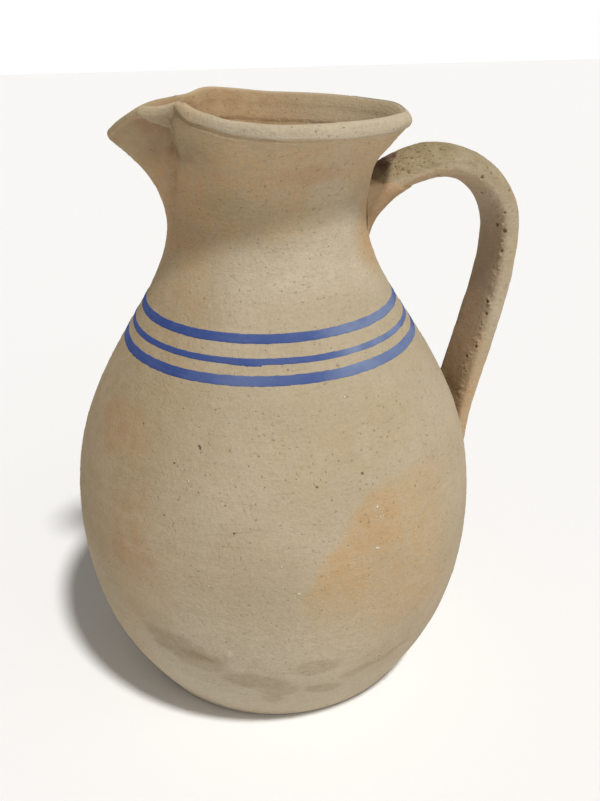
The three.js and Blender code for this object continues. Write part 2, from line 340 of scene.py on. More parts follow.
def make_object(name, points, quads, triangles=(), normals=None, masks=None):
    """A smooth mesh object from points in millimetres. Loose points are dropped."""
    points = np.asarray(points, float).reshape(-1, 3)
    quads = np.asarray(quads, np.int64).reshape(-1, 4)
    triangles = np.asarray(triangles, np.int64).reshape(-1, 3)
    used = np.zeros(len(points), bool)
    used[quads.ravel()] = True
    used[triangles.ravel()] = True
    number = np.cumsum(used) - 1
    corners = np.concatenate([number[triangles].ravel(), number[quads].ravel()]).astype(np.int32)
    sizes = np.concatenate([np.full(len(triangles), 3), np.full(len(quads), 4)]).astype(np.int32)
    starts = np.concatenate([[0], np.cumsum(sizes)[:-1]]).astype(np.int32)
    mesh = bpy.data.meshes.new(name)
    mesh.vertices.add(int(used.sum()))
    mesh.vertices.foreach_set("co", (points[used] * MILLIMETRE).astype(np.float32).ravel())
    mesh.loops.add(len(corners))
    mesh.loops.foreach_set("vertex_index", corners)
    mesh.polygons.add(len(sizes))
    mesh.polygons.foreach_set("loop_start", starts)
    mesh.update(calc_edges=True)
    mesh.validate()
    mesh.shade_smooth()
    for mask, values in (masks or {}).items():
        layer = mesh.attributes.new(mask, "FLOAT", "POINT")
        layer.data.foreach_set("value", np.asarray(values, np.float32).ravel()[used])
    if normals is not None:
        mesh.normals_split_custom_set_from_vertices(np.asarray(normals, float).reshape(-1, 3)[used])
    obj = bpy.data.objects.new(name, mesh)
    bpy.context.scene.collection.objects.link(obj)
    return obj


def clipped(masks):
    return {name: np.clip(values, 0, 1) for name, values in masks.items()}


def tube_faces(rings, sides):
    """Quads and end fans of a tube whose two end middles are the last two points."""
    around = np.arange(sides)
    following = (around + 1) % sides
    first = np.stack([np.full(sides, rings * sides), following, around], 1)
    last = (rings - 1) * sides
    end = np.stack([np.full(sides, rings * sides + 1), last + around, last + following], 1)
    return grid_faces(rings, sides, True).reshape(-1, 4), np.concatenate([first, end])


def tube_points(points):
    return np.concatenate([points.reshape(-1, 3), [points[0].mean(0), points[-1].mean(0)]])


def tube_masks(masks):
    """Masks of a tube's rings, with a value more for each of its two end middles."""
    return {name: np.append(values, values.reshape(-1)[[0, -1]]) for name, values in masks.items()}


# The vessel: rows from the middle of the foot up the outside, over the lip, down the inside.

def vessel_profile():
    """Rows of the vessel with its lip band, and the same rows of the beak, which has none."""
    underside = np.stack([np.linspace(3, FOOT_RADIUS - 1.6, 24), np.zeros(24)], 1)
    heel = np.array([[FOOT_RADIUS - 0.9, 0.06], [FOOT_RADIUS - 0.3, 0.35], [FOOT_RADIUS + 0.25, 0.8]])
    low, neck, flare = 1.4, 236, 256
    wall = OUTLINE[(OUTLINE[:, 1] > low) & (OUTLINE[:, 1] < BAND_SEAM)]
    wall = np.concatenate([[[radius_at(low), low]], wall, [[radius_at(BAND_SEAM), BAND_SEAM]]])
    wall = respaced(wall, 0.1)
    wall = np.concatenate([
        respaced(wall[wall[:, 1] < neck], COARSE_GAP),
        respaced(wall[(wall[:, 1] >= neck) & (wall[:, 1] < flare)], MIDDLE_GAP),
        respaced(wall[wall[:, 1] >= flare], FINE_GAP),
    ])
    inner_side = [(56.9, 269.75), (55.8, 269.0), (54.1, 267.3), (52.5, 265.2)]
    band = np.array([
        tuple(wall[-1]), (58.85, 263.0), (59.4, 263.7), (59.5, 264.1), (59.65, 264.35), (59.95, 264.5),
        (60.15, 264.8), (60.25, 265.3), (60.3, 266.4), (60.25, 267.6), (60.05, 268.6), (59.6, 269.35),
        (58.9, 269.85), (57.9, 270.05),
    ] + inner_side)
    beak = np.array([
        tuple(wall[-1]), (58.9, 263.1), (59.5, 264.1), (59.85, 265.2), (59.9, 266.3), (59.75, 267.3),
        (59.4, 268.2), (58.9, 269.0), (58.1, 269.65), (57.3, 269.8),
    ] + inner_side)
    band = respaced(band, LIP_GAP)
    beak = respaced(beak, LIP_GAP)
    share = np.linspace(0, 1, len(beak))
    beak = np.stack([np.interp(np.linspace(0, 1, len(band)), share, beak[:, k]) for k in (0, 1)], 1)
    band, beak = smoothed(band, 3), smoothed(beak, 16)
    tangent = np.gradient(OUTLINE, axis=0)
    tangent /= np.linalg.norm(tangent, axis=1)[:, None]
    inner = (OUTLINE + np.stack([-tangent[:, 1], tangent[:, 0]], 1) * WALL)[::-1]
    inner = inner[(inner[:, 1] < 264.0) & (inner[:, 1] > FLOOR_THICKNESS + 16)]
    inner[:, 0] += 1.0 * bump(inner[:, 1], 256.8, 0.9) - 0.7 * step(258.5, 250, inner[:, 1])
    floor = bezier(inner[-1], (-4, -10), (-22, 0), (30, FLOOR_THICKNESS), 40)[1:]
    floor = np.concatenate([floor, [[3, FLOOR_THICKNESS]]])
    upper = respaced(np.concatenate([band[-1:], inner[inner[:, 1] > 235]]), INSIDE_GAP)[1:]
    lower = respaced(np.concatenate([upper[-1:], inner[inner[:, 1] <= 235], floor]), DEEP_GAP)[1:]
    rows = np.concatenate([underside, heel, wall[:-1], band, upper, lower])
    plain = np.concatenate([underside, heel, wall[:-1], beak, upper, lower])
    outside = len(underside) + len(heel) + len(wall) - 1
    return rows, plain, len(underside), outside, outside + len(band)


column_angles = np.concatenate([
    np.linspace(-CREASE, CREASE, BEAK_STEPS, endpoint=False),
    np.linspace(CREASE, 2 * math.pi - CREASE, BACK_STEPS, endpoint=False),
])

banded, plain, first_side, first_lip, first_inner = vessel_profile()
row_count = len(banded)
column_count = len(column_angles)
row = np.arange(row_count)[:, None]
crest_row = first_lip + int(np.argmax(banded[first_lip:first_inner, 1]))
corner_row = first_lip + int(np.argmax(banded[first_lip:first_inner, 1] > 264.5))
off = off_spout(column_angles)[None, :]


def narrowed(rows, off):
    """The lip band's rows by column: towards the creases its lower edge runs up to the crest."""
    r = rows[:, 0, None] + off * 0
    z = rows[:, 1, None] + off * 0
    climb = [5.6, 4.7, 3.4, 2.2, 1.6, 1.4, 1.6, 1.7, 1.75, 1.0, 0.5, 0.1, -0.4, -0.3, -0.6, -0.9]
    places = [37, 40, 43, 46, 49, 52, 56, 60, 66, 78, 92, 105, 116, 130, 140, 152]
    edge = BAND_EDGE + np.interp(np.degrees(off), places, climb)
    below = BAND_SEAM + (z - BAND_SEAM) * (edge - BAND_SEAM) / (BAND_EDGE - BAND_SEAM)
    above = edge + (z - BAND_EDGE) * (BAND_TOP - edge) / (BAND_TOP - BAND_EDGE)
    outer = (row >= first_lip) & (row <= crest_row)
    z = np.where(outer & (rows[:, 1, None] > BAND_SEAM), np.where(z < BAND_EDGE, below, above), z)
    r = np.where(outer & (rows[:, 1, None] < 264.15), np.minimum(radius_at(z), 59.5), r)
    return np.stack([r, z], -1)


bandness = step(math.radians(34), math.radians(41), off)[..., None]
profile = narrowed(banded, off) * bandness + plain[:, None] * (1 - bandness)
level = profile[..., 1]
at_back = step(120, 160, np.degrees(off))
swelling = 1.3 * at_back * bump(level, 265.9, 2.6) - 0.75 * at_back
on_band = ((row > first_lip) & (row < crest_row)) * step(BAND_SEAM, 264.5, level)
profile[..., 0] = profile[..., 0] + swelling * on_band
angle = np.broadcast_to(column_angles[None, :], profile.shape[:2])
fold_share = 1 - 0.6 * step(crest_row - 12, crest_row + 20, row)
on_side = step(first_side, first_side + 3, row)
base = pulled(profile[..., 0] - fold(level, angle) * fold_share * on_side, level, angle)
base_normal = grid_normals(base)
relief_share = on_side * (1 - 0.7 * bump(row, crest_row - 20, 30))
inner_mask = np.broadcast_to(step(crest_row + 3, crest_row + 20, row), profile.shape[:2])
face_mask = np.broadcast_to(step(corner_row - 1.5, corner_row + 1.5, row), profile.shape[:2])


def beak_skin(points, angle):
    """Where a skin of clay was rolled over the beak's near side, with a ragged lower edge."""
    signed = signed_degrees(angle)
    places = [15, 16.9, 18, 19.1, 20.8, 21.8, 24, 28]
    edge = np.interp(signed, places, [270.5, 268.9, 266.4, 264.7, 263.3, 262.7, 262.3, 262.0])
    edge = edge + 0.35 * noise(points, 2.4, 16) + 0.2 * noise(points, 1.1, 45)
    inside = step(15.4, 16.2, signed + 0.5 * noise(points, 2.2, 17)) * step(29.5, 26.5, signed)
    return inside * step(edge - 0.16, edge + 0.14, points[..., 2])


skin = beak_skin(base, angle) * (1 - inner_mask) * step(244, 250, level)
above_strap = 1.5 * bump(level, 246.5, 6.5) * step(132, 158, np.degrees(off)) * (1 - inner_mask)
lift = relief(base, level) * relief_share + 0.6 * skin - above_strap
vessel_points = base + base_normal * lift[..., None]
vessel_normals = grid_normals(vessel_points)

# Smudges near the foot: degrees from the spout, height, degrees wide, millimetres tall, how far the
# right side falls by the degree, and strength.
SMUDGES = (
    (57, 55, 13, 9.5, 0.35, 0.42), (61, 53, 7, 4.5, 0.3, 0.62), (77, 39, 9, 6, 0.2, 0.34),
    (84, 31, 6, 5, 0, 0.28), (93.5, 48, 6, 5, 0, 0.30), (97, 29, 6, 4, 0.3, 0.38),
    (110, 38, 7, 3.2, -0.25, 0.24), (120, 41, 7, 3, -0.4, 0.26), (82, 24, 3, 4, 0, 0.3),
    (46, 70, 10, 8, 0.3, 0.16),
)


def vessel_masks(points, height, angle, inner, skin, face):
    """Where the fire and the hands coloured the clay, and where shade is painted in: each mask goes from 0
    to 1.
    """
    signed = signed_degrees(angle)
    apart = np.abs(signed)
    near_side = step(-28, 4, signed) * (1 - 0.999 * step(172, 180, signed))
    # The side away from the lamps. The warmer, redder and darker tints laid on it below are painted shade,
    # partly over real blush.
    shaded_left = step(74, 42, signed) * step(-120, -40, signed)
    outer = 1 - inner
    cloud = noise(points, 19, 11) + 0.5 * noise(points, 8, 12) + 0.3 * noise(points, 3.5, 13)

    def patch(at_angle, at_height, wide, tall, rough=0.4, fall=0.0):
        """A soft ellipse on the wall: degrees wide, millimetres tall, its right side lower by fall."""
        a = (signed - at_angle) / wide
        b = (height - at_height + fall * (signed - at_angle)) / tall
        return step(-0.25, 0.9, 1 - a * a - b * b + rough * cloud)

    left_side = np.interp(
        height, [50, 67, 81, 96, 106, 113, 126, 134], [95, 92, 89.4, 90.6, 95, 98.2, 104.4, 111],
    )
    blush = step(left_side - 1.5, left_side + 3.5, signed + 1.6 * cloud)
    blush = blush * step(137, 125, height + 2.5 * cloud)
    blush = blush * step(46, 76, height) * step(152, 122, signed)
    core = np.maximum(patch(110.5, 118, 10, 17), 0.75 * patch(99, 94, 11, 20, 0.5))
    blush = blush * (0.62 + 0.38 * core + 0.08 * cloud)
    left = np.maximum(0.6 * patch(31, 146, 15, 15), 0.42 * patch(41, 106, 12, 40, 0.5))
    left = np.maximum(left, 0.32 * patch(44, 78, 13, 26, 0.5)) + 0.22 * shaded_left
    speckled = 0.16 * patch(112, 150, 30, 22, 0.6) + 0.10 * patch(75, 100, 40, 60, 0.7)
    # The neck takes a warmer, darker tone down to the line where the lip's shadow falls, and this edge
    # follows that line: painted shade, streaked.
    neck_shade_edge = np.interp(signed, [-180, -60, 5, 27, 46, 60, 72, 88, 106, 116, 124, 133, 180],
                         [236, 222, 212, 212, 217, 220.5, 224, 226.5, 229, 232, 236, 238.5, 236])
    neck = step(-7, 5, height - neck_shade_edge + 2 * cloud)
    streaky = 0.78 + 0.22 * noise(points, (16, 16, 8), 14) + 0.12 * noise(points, (30, 30, 3), 15)
    neck = neck * (1 - face) * streaky
    clear = patch(117, 239, 15, 8, 0.5)
    neck = np.clip(neck * (1 - 0.35 * clear) + 0.3 * neck * shaded_left, 0, 1)
    beside_web = patch(163, 222, 24, 26, 0.35)
    warm = np.maximum.reduce([
        blush, left, speckled, neck, 0.85 * beside_web, 0.05 + 0.10 * cloud,
        0.8 * shaded_left * step(176, 204, height), 0.42 * shaded_left * step(70, 90, height),
    ])
    beak_side = step(27, 22, apart) * step(246, 252, height) * outer * (1 - skin)
    red = 0.5 * beak_side * step(-0.9, 0.6, cloud) * step(267.5, 265.5, height + 0.5 * cloud)
    for share, *place in (
        (0.30, 101, 250.5, 16, 5, 0.6), (0.12, 124, 251, 14, 7, 0.6), (0.12, 163, 218, 20, 20, 0.5),
        (0.25, 30, 251.5, 22, 2.2, 0.35), (0.3, 31, 146, 14, 13), (0.2, 41, 106, 11, 36, 0.5),
        (0.10, 110, 118, 8, 14), (0.14, 140, 55, 30, 26, 0.6),
    ):
        red = red + share * patch(*place)
    red = red + 0.16 * neck * shaded_left
    crest = step(264.8, 266.8, height + 0.4 * cloud) * (1 - skin)
    crest = crest * step(34, 27, signed) * step(-70, -30, signed)
    curl = step(77, 44, apart) * step(242, 256, height) * (1 - face)
    dull = (0.16 + 0.22 * noise(points, (34, 34, 26), 46)) * (1 - 0.9 * step(225, 236, height))
    olive = np.maximum.reduce([
        0.6 * skin, 0.8 * crest, 0.95 * curl * (0.85 + 0.2 * cloud), 0.45 * patch(60, 238, 17, 9, 0.5),
        0.32 * patch(138, 241, 5, 13, 0.3), 0.30 * patch(38, 164, 22, 12, 0.6),
        0.26 * patch(68, 62, 24, 20, 0.7), 0.30 * patch(96, 232, 30, 7, 0.6), dull,
    ])
    smudge = 0
    for at_angle, at_height, wide, tall, fall, depth in SMUDGES:
        smudge = np.maximum(smudge, 0.9 * depth * patch(at_angle, at_height, wide, tall, 0.75, fall))
    foot_line = 22 + 8 * np.cos(np.radians(signed - 75)) + 3.0 * noise(points, 30, 18)
    foot = 1 - step(foot_line - 4.0, foot_line + 4.0, height)
    lip_share = 0.2 + 0.28 * near_side + 0.52 * step(50, 85, signed) + 0.3 * step(95, 125, signed)
    lip = face * outer * step(36, 42, apart) * lip_share
    pale = 0.5 * foot + 0.68 * lip * (1 + 0.15 * cloud) + 0.5 * skin
    light_neck = step(192, 210, height) * (1 - step(-12, 0, height - neck_shade_edge + 2 * cloud))
    light_neck = light_neck * (0.25 + 0.65 * step(48, 82, signed))
    pale = pale + light_neck * (1 - beside_web) + 0.30 * clear + 0.12 * step(0.1, 0.9, cloud)
    pale = pale + 0.16 * neck * step(58, 76, signed)
    pale = pale + 0.7 * step(100, 60, height) * step(36, 50, signed) * step(118, 96, signed)
    near_left = step(125, 60, signed) * step(-150, -90, signed)
    # Inside the mouth the clay is darker and redder below the ledge, painted shade, and also towards the
    # spout's side.
    below_ledge = step(258.0, 256.2, height)
    dark = smudge * outer + inner * (0.26 * below_ledge + 0.30 * near_left)
    # Darker along the left side: painted shade.
    dark = dark + 0.14 * outer * shaded_left * step(210, 190, height) * step(80, 95, height)
    # A thin dark line under the lip band's lower edge: painted shadow.
    under_band_shade = (row > corner_row - 4) & (row < corner_row - 1)
    dark = dark + under_band_shade * (0.25 + 0.5 * noise(points, (5, 5, 1), 47)) * step(36, 42, apart)
    # Darker in the valley beside the crease and beside the curl, painted shade, and along a thin streak
    # under the lip.
    valley = bump(apart, 25, 10) * step(244, 254, height) * step(268, 264, height) * near_side
    streak = patch(30, 251.5, 24, 2.4, 0.3)
    streak_and_crease_shade = 0.30 * valley + 0.20 * streak + 0.13 * curl * step(22, 30, signed)
    dark = dark + outer * (1 - face) * (1 - 0.7 * skin) * streak_and_crease_shade
    return clipped({
        "warm": warm * outer + inner * (0.95 + 0.1 * cloud),
        "red": red * outer + inner * (0.06 + 0.22 * near_left + 0.10 * below_ledge),
        "olive": olive * outer + inner * 0.5 * step(50, 130, apart) * step(257.0, 262.0, height),
        "pale": pale * outer + inner * 0.4 * step(80, 140, apart),
        "dark": dark,
    })


all_masks = tube_masks(vessel_masks(base, level, angle, inner_mask, skin, face_mask))
end_middles = [[0, 0, 0], [0, 0, FLOOR_THICKNESS]]
all_points = np.concatenate([vessel_points.reshape(-1, 3), end_middles])
all_normals = np.concatenate([vessel_normals.reshape(-1, 3), [[0, 0, -1], [0, 0, 1]]])
quads = grid_faces(row_count, column_count, True)
fans = tube_faces(row_count, column_count)[1]
outer_cut = int(np.argmax(banded[:, 1] > BEAK_FOOT))
inner_cut = int(row_count - np.argmax(banded[::-1, 1] > BEAK_FOOT) - 1)
beak_face = np.zeros(quads.shape[:2], bool)
beak_face[outer_cut:inner_cut, :BEAK_STEPS] = True


def zipped(left, right):
    """Triangles between two chains of vertex numbers that start side by side."""
    made = []
    i = j = 0
    while i < len(left) - 1 or j < len(right) - 1:
        left_next = (i + 1) / (len(left) - 1)
        right_next = (j + 1) / (len(right) - 1)
        if j == len(right) - 1 or (i < len(left) - 1 and left_next <= right_next):
            made.append((left[i], left[i + 1], right[j]))
            i += 1
        else:
            made.append((left[i], right[j + 1], right[j]))
            j += 1
    return np.array(made)


def cut_faces():
    """The faces that close the beak where it meets the vessel, seen from the vessel."""
    turn = (first_lip + first_inner) // 2
    up = np.arange(outer_cut, turn + 1)[::-1]
    down = np.arange(turn, inner_cut + 1)
    sides = []
    for column, flip in ((0, False), (BEAK_STEPS, True)):
        strip = zipped(up * column_count + column, down * column_count + column)
        sides.append(strip[:, ::-1] if flip else strip)
    columns = np.arange(BEAK_STEPS)
    a, b = outer_cut * column_count, inner_cut * column_count
    bottom = np.stack([a + columns, a + columns + 1, b + columns + 1, b + columns], 1)
    return np.concatenate(sides), bottom


cut_sides, cut_bottom = cut_faces()
body = make_object(
    "thrown_body", all_points, np.concatenate([quads[~beak_face].reshape(-1, 4), cut_bottom]),
    np.concatenate([fans, cut_sides]), all_normals, all_masks,
)
spout = make_object(
    "pulled_spout", all_points, np.concatenate([quads[beak_face].reshape(-1, 4), cut_bottom[:, ::-1]]),
    cut_sides[:, ::-1], all_normals, all_masks,
)


# The strap handle.

out_way = np.array([math.cos(HANDLE_TURN), math.sin(HANDLE_TURN), 0])
side_way = np.array([-math.sin(HANDLE_TURN), math.cos(HANDLE_TURN), 0])
up_way = np.array([0, 0, 1.0])


def beside_outline(height, distance):
    """The outline at a height, moved outwards by a distance."""
    slope = radius_at(height + 0.5) - radius_at(height - 0.5)
    return np.array([radius_at(height), height]) + np.array([1, -slope]) / math.hypot(1, slope) * distance


def strap_path():
    """Points of the strap's middle line, with the share of the way between its named points."""
    tail = beside_outline(TAIL_HEIGHT, TAIL_PROUD)
    smear = beside_outline(TAIL_HEIGHT - SMEAR_LENGTH, -SMEAR_SINK)
    bend = tail + heading(TAIL_SLOPE, SMEAR_LENGTH / 2)
    t = np.linspace(0, 1, 200)[:, None]
    pieces = [
        bezier(ROOT, heading(ROOT_SLOPE, 16.6), (13.8, 0), ARCH, 200),
        bezier(ARCH, (18.2, 0), (0, -19.3), GRIP, 200),
        bezier(GRIP, (0, -38.6), heading(TAIL_SLOPE, 32.2), tail, 300),
        (1 - t) ** 2 * tail + 2 * (1 - t) * t * bend + t * t * smear,
    ]
    line, share = [], []
    for number, piece in enumerate(pieces):
        length = lengths_along(piece)
        keep = slice(0 if number == 0 else 1, None)
        line.append(piece[keep])
        share.append(number + length[keep] / length[-1])
    return np.concatenate(line), np.concatenate(share)


def squarish(turn, power):
    """Cosine and sine of a turn round a section, whose sides are flatter for a smaller power."""
    c, s = np.cos(turn), np.sin(turn)
    return np.sign(c) * np.abs(c) ** power, np.sign(s) * np.abs(s) ** power


def placed(outwards, across, height):
    """Points of the handle, from how far out, how far across and how high they are."""
    return outwards[..., None] * out_way + across[..., None] * side_way + height[..., None] * up_way


def strap_rings(count, sides):
    """Points of the strap ring by ring, with each ring's share of the way and part, and the turns."""
    line, share = strap_path()
    length = lengths_along(line)
    at = np.linspace(ROOT_TRIM, length[-1], count)
    middle = np.stack([np.interp(at, length, line[:, k]) for k in (0, 1)], 1)
    part = np.interp(at, length, share)
    tangent = np.gradient(middle, axis=0)
    tangent /= np.linalg.norm(tangent, axis=1)[:, None]
    half_thick = np.interp(part, range(5), STRAP_THICKNESS)[:, None] / 2
    half_wide = np.interp(part, range(5), STRAP_WIDTH)[:, None] / 2
    square = np.interp(part, [0, 0.9, 1.5, 2.2, 3, 4], [2.0, 2.3, 3.0, 3.6, 3.0, 2.4])
    fine = np.linspace(0, 2 * math.pi, 1441)
    c, s = squarish(fine, 2 / 2.6)
    length_round = np.concatenate([[0], np.cumsum(np.hypot(np.diff(c) * 7, np.diff(s) * 13))])
    turn = np.interp(np.linspace(0, length_round[-1], sides, endpoint=False), length_round, fine)
    c, s = squarish(turn, np.where(np.cos(turn)[None, :] > 0, 2 / 2.4, 2 / square[:, None]))
    slimmer = np.interp(part, [0, 0.4, 0.75, 1.15], [0.60, 0.68, 0.88, 0.97])
    c = np.where(c < 0, c * slimmer[:, None], c)
    r = middle[:, None, 0] - tangent[:, None, 1] * (half_thick * c)
    z = middle[:, None, 1] + tangent[:, None, 0] * (half_thick * c)
    return placed(r, half_wide * s, z), at / length[-1], part, turn


def skirted(points, normal, skirt, share=1.0):
    """Spreads a piece's sides along the vessel's wall where it meets it, as smeared clay is."""
    radial = np.hypot(points[..., 0], points[..., 1])
    away = np.stack([points[..., 0] / radial, points[..., 1] / radial, radial * 0], -1)
    d = np.clip(radial - radius_at(points[..., 2]), 0, skirt)
    push = skirt - np.sqrt(np.maximum(skirt ** 2 - (skirt - d) ** 2, 0))
    sideways = normal - away * (normal * away).sum(-1)[..., None]
    return points + sideways * (push * share)[..., None]


ring_points, along_share, strap_part, turn = strap_rings(STRAP_RINGS, STRAP_SIDES)
strap_normal = -grid_normals(ring_points)
skirt = np.where(strap_part < 1.5, 2.0, 5.0)[:, None] * np.ones(ring_points.shape[:2])
skirt[(strap_part > 1.5)[:, None] & (np.cos(turn) < -0.3)[None, :]] = 0.5
strap_points = skirted(ring_points, strap_normal, skirt)

# Pits of the strap: share of the way from root to tail, section angle in 32nds, radius, depth.
STRAP_PITS = [
    (0.155, 30, 0.9, 0.8), (0.135, 29, 0.8, 0.6), (0.198, 29, 0.8, 0.6), (0.105, 27, 0.8, 0.6),
    (0.183, 21, 0.7, 0.5), (0.301, 23, 0.9, 0.7), (0.346, 18, 0.8, 0.6), (0.381, 26, 0.7, 0.6),
    (0.456, 18, 1.0, 0.9), (0.471, 21, 1.0, 0.8), (0.649, 19, 0.9, 0.7), (0.679, 20, 0.9, 0.8),
    (0.762, 20, 0.8, 0.7), (0.794, 18, 0.9, 0.6), (0.52, 20.5, 0.8, 0.6), (0.42, 22, 0.7, 0.5),
]
PIT_REACH = 8


def round_from(around):
    """How far each side of the strap is from a turn round its section, the short way round."""
    return np.abs(np.angle(np.exp(1j * (turn - around))))


tail_share = along_share[np.argmax(strap_part >= 3.0)]
random = np.random.default_rng(7)
holes = [(share * tail_share, k / 32 * 2 * math.pi, *sizes) for share, k, *sizes in STRAP_PITS]
for _ in range(150):
    holes.append((random.uniform(0.03, 0.42), random.normal(0, 0.75), random.uniform(0.3, 0.6),
                  random.uniform(0.15, 0.4)))
for _ in range(60):
    holes.append((random.uniform(0.3, 0.95), random.uniform(0, 2 * math.pi), random.uniform(0.3, 0.6),
                  random.uniform(0.12, 0.35)))
pits = np.zeros(ring_points.shape[:2])
for at, around, radius, depth in holes:
    i = int(round(at * (len(along_share) - 1)))
    j = int(np.argmin(round_from(around)))
    rows = slice(max(i - PIT_REACH, 0), i + PIT_REACH + 1)
    columns = np.arange(j - PIT_REACH, j + PIT_REACH + 1) % len(turn)
    near = ring_points[rows][:, columns]
    away = np.linalg.norm(near - ring_points[i, j], axis=-1) + 0.25 * noise(near, 0.9, 25)
    hole = depth * step(radius * 1.25, radius * 0.45, away)
    pits[rows, columns] = np.maximum(pits[rows, columns], hole)
edge_turn = np.degrees(round_from(20 / 32 * 2 * math.pi))[None, :]
crumbly = bump(edge_turn, 0, 17) * step(1.2, 1.9, strap_part)[:, None] * step(3.0, 2.7, strap_part)[:, None]
burrs = np.maximum(noise(ring_points, 1.7, 26) - 0.25, 0)
burrs = burrs + 0.7 * np.maximum(noise(ring_points, (2.4, 2.4, 1.1), 27) - 0.3, 0)
crumbs = crumbly * (burrs + 0.12 * noise(ring_points, 3.5, 28))
ridge_turn = np.degrees(round_from(25 / 32 * 2 * math.pi))[None, :]
ridge = 0.30 * bump(ridge_turn, 0, 7) * bump(strap_part, 0.95, 0.5)[:, None]
rough = step(-0.1, 0.4, np.cos(turn))[None, :] * step(1.9, 0.8, strap_part)[:, None]
surface_relief = (
    0.30 * noise(ring_points, (26, 26, 30), 21) + 0.16 * noise(ring_points, 9, 22)
    + 0.09 * noise(ring_points, 3.2, 23) + (0.04 + 0.08 * rough) * noise(ring_points, 1.5, 29)
    + crumbs + ridge - pits
)
strap_points = strap_points + strap_normal * surface_relief[..., None]


def strap_masks(points, part, turn):
    """Where the strap is coloured, coarse, or has painted shade at its root and in the crotch by the belly.
    """
    none = np.zeros(points.shape[:2])
    way = part[:, None] + none
    cloud = noise(points, 13, 30) + 0.5 * noise(points, 5, 31) + 0.3 * noise(points, 2, 32)
    up = np.cos(turn)[None, :] + none
    top = step(-0.15, 0.35, up + 0.2 * cloud)
    inner = step(-0.35, -0.75, up)
    tail = step(2.3, 2.9, way)
    root_face = step(1.6, 0.5, way) * step(0.25, -0.35, up + 0.15 * cloud)
    # Darker where the strap's underside meets the belly: painted shade in the crotch.
    crotch_shade = step(2.45, 2.9, way) * step(-0.2, -0.6, up)
    across = points @ side_way
    shade_end = np.interp(
        across, [-11, -10.4, -9.3, -7.5, -4.9, -1.8, 2.2, 8], [44, 46.3, 49.9, 53.8, 57.1, 60.7, 63.2, 65],
    )
    root = step(0.6, -0.6, points @ out_way - shade_end + 0.3 * cloud) * step(-0.75, -0.2, up)
    # The red bump at the tail's underside is painted shade in the crotch too.
    red = 0.46 * inner * (1 + 0.5 * cloud) + 0.3 * bump(way, 2.8, 0.1) * step(0.3, -0.3, up)
    dark = 0.34 * top * step(2.2, 0.9, way) + 0.9 * np.minimum(pits / 0.4, 1) + 0.75 * crotch_shade
    return clipped({
        "warm": 0.12 + 0.2 * cloud + 0.6 * root_face + 0.7 * tail,
        "red": red,
        "olive": top * step(2.4, 0.9, way) * (0.85 + 0.15 * cloud) * (1 - 0.8 * root),
        "pale": 0.3 * step(0.2, 0.9, cloud) * (1 - top) * (1 - inner) + 0.28 * inner,
        "dark": dark,
        "shade": root * (0.66 + 0.34 * step(239.5, 242, points[..., 2])) * (1 + 0.1 * cloud),
    }) | {"rough": rough * (0.8 + 0.3 * cloud)}


quads, fans = tube_faces(STRAP_RINGS, STRAP_SIDES)
strap = make_object(
    "strap_handle", tube_points(strap_points), quads[:, ::-1], fans[:, ::-1], None,
    tube_masks(strap_masks(ring_points, strap_part, turn)),
)


# The wedge of clay under the strap's upper root.

def web_rings(count, sides):
    """Rings of the web from the neck outwards, each from the strap round the lower edge and back."""
    edge = np.array([
        (42.0, 200.0), (43.2, 206.0), (44.3, 211.0), (46.0, 215.2), (48.5, 218.6), (51.5, 221.6),
        (54.4, 224.3), (57.4, 226.8), (60.4, 228.7), (64.0, 230.4), (69.0, 232.4),
    ])
    edge = smoothed(respaced(edge, 0.6), 10)
    way = np.linspace(0, 1, count)
    edge = np.stack([np.interp(way, np.linspace(0, 1, len(edge)), edge[:, k]) for k in (0, 1)], 1)
    corner = np.stack([np.interp(way, [0, 0.3, 0.5, 0.75, 1], values) for values in (
        [40, 40, 42, 50, 63], [238, 238, 237.6, 235.6, 234.2],
    )], 1)
    half_wide = np.interp(way, [0, 0.5, 0.72, 0.82, 0.92, 1], [15.4, 15.0, 14.1, 13.4, 11.5, 8.0])
    c, s = squarish(np.linspace(-math.pi / 2, math.pi / 2, sides), 2 / 3.3)
    r = corner[:, None, 0] + (edge - corner)[:, None, 0] * c
    z = corner[:, None, 1] + (edge - corner)[:, None, 1] * c
    return placed(r, half_wide[:, None] * s, z)


web_base = web_rings(WEB_RINGS, WEB_SIDES)
web_normal = grid_normals(web_base, wrap_columns=False)
web_points = skirted(web_base, web_normal, np.full(web_base.shape[:2], 9.0), 0.85)
web_relief = 0.25 * noise(web_points, 9, 34) + 0.08 * noise(web_points, 2.5, 35)
web_points = tube_points(web_points + web_normal * web_relief[..., None])
cloud = noise(web_points, 9, 36)
web = make_object(
    "root_web", web_points, *tube_faces(WEB_RINGS, WEB_SIDES), None,
    clipped({"warm": 0.90 + 0.2 * cloud, "red": 0.30 + 0.25 * cloud, "olive": cloud * 0,
             "pale": cloud * 0, "dark": 0.16 + 0.1 * cloud}),
)


# The slip bands.

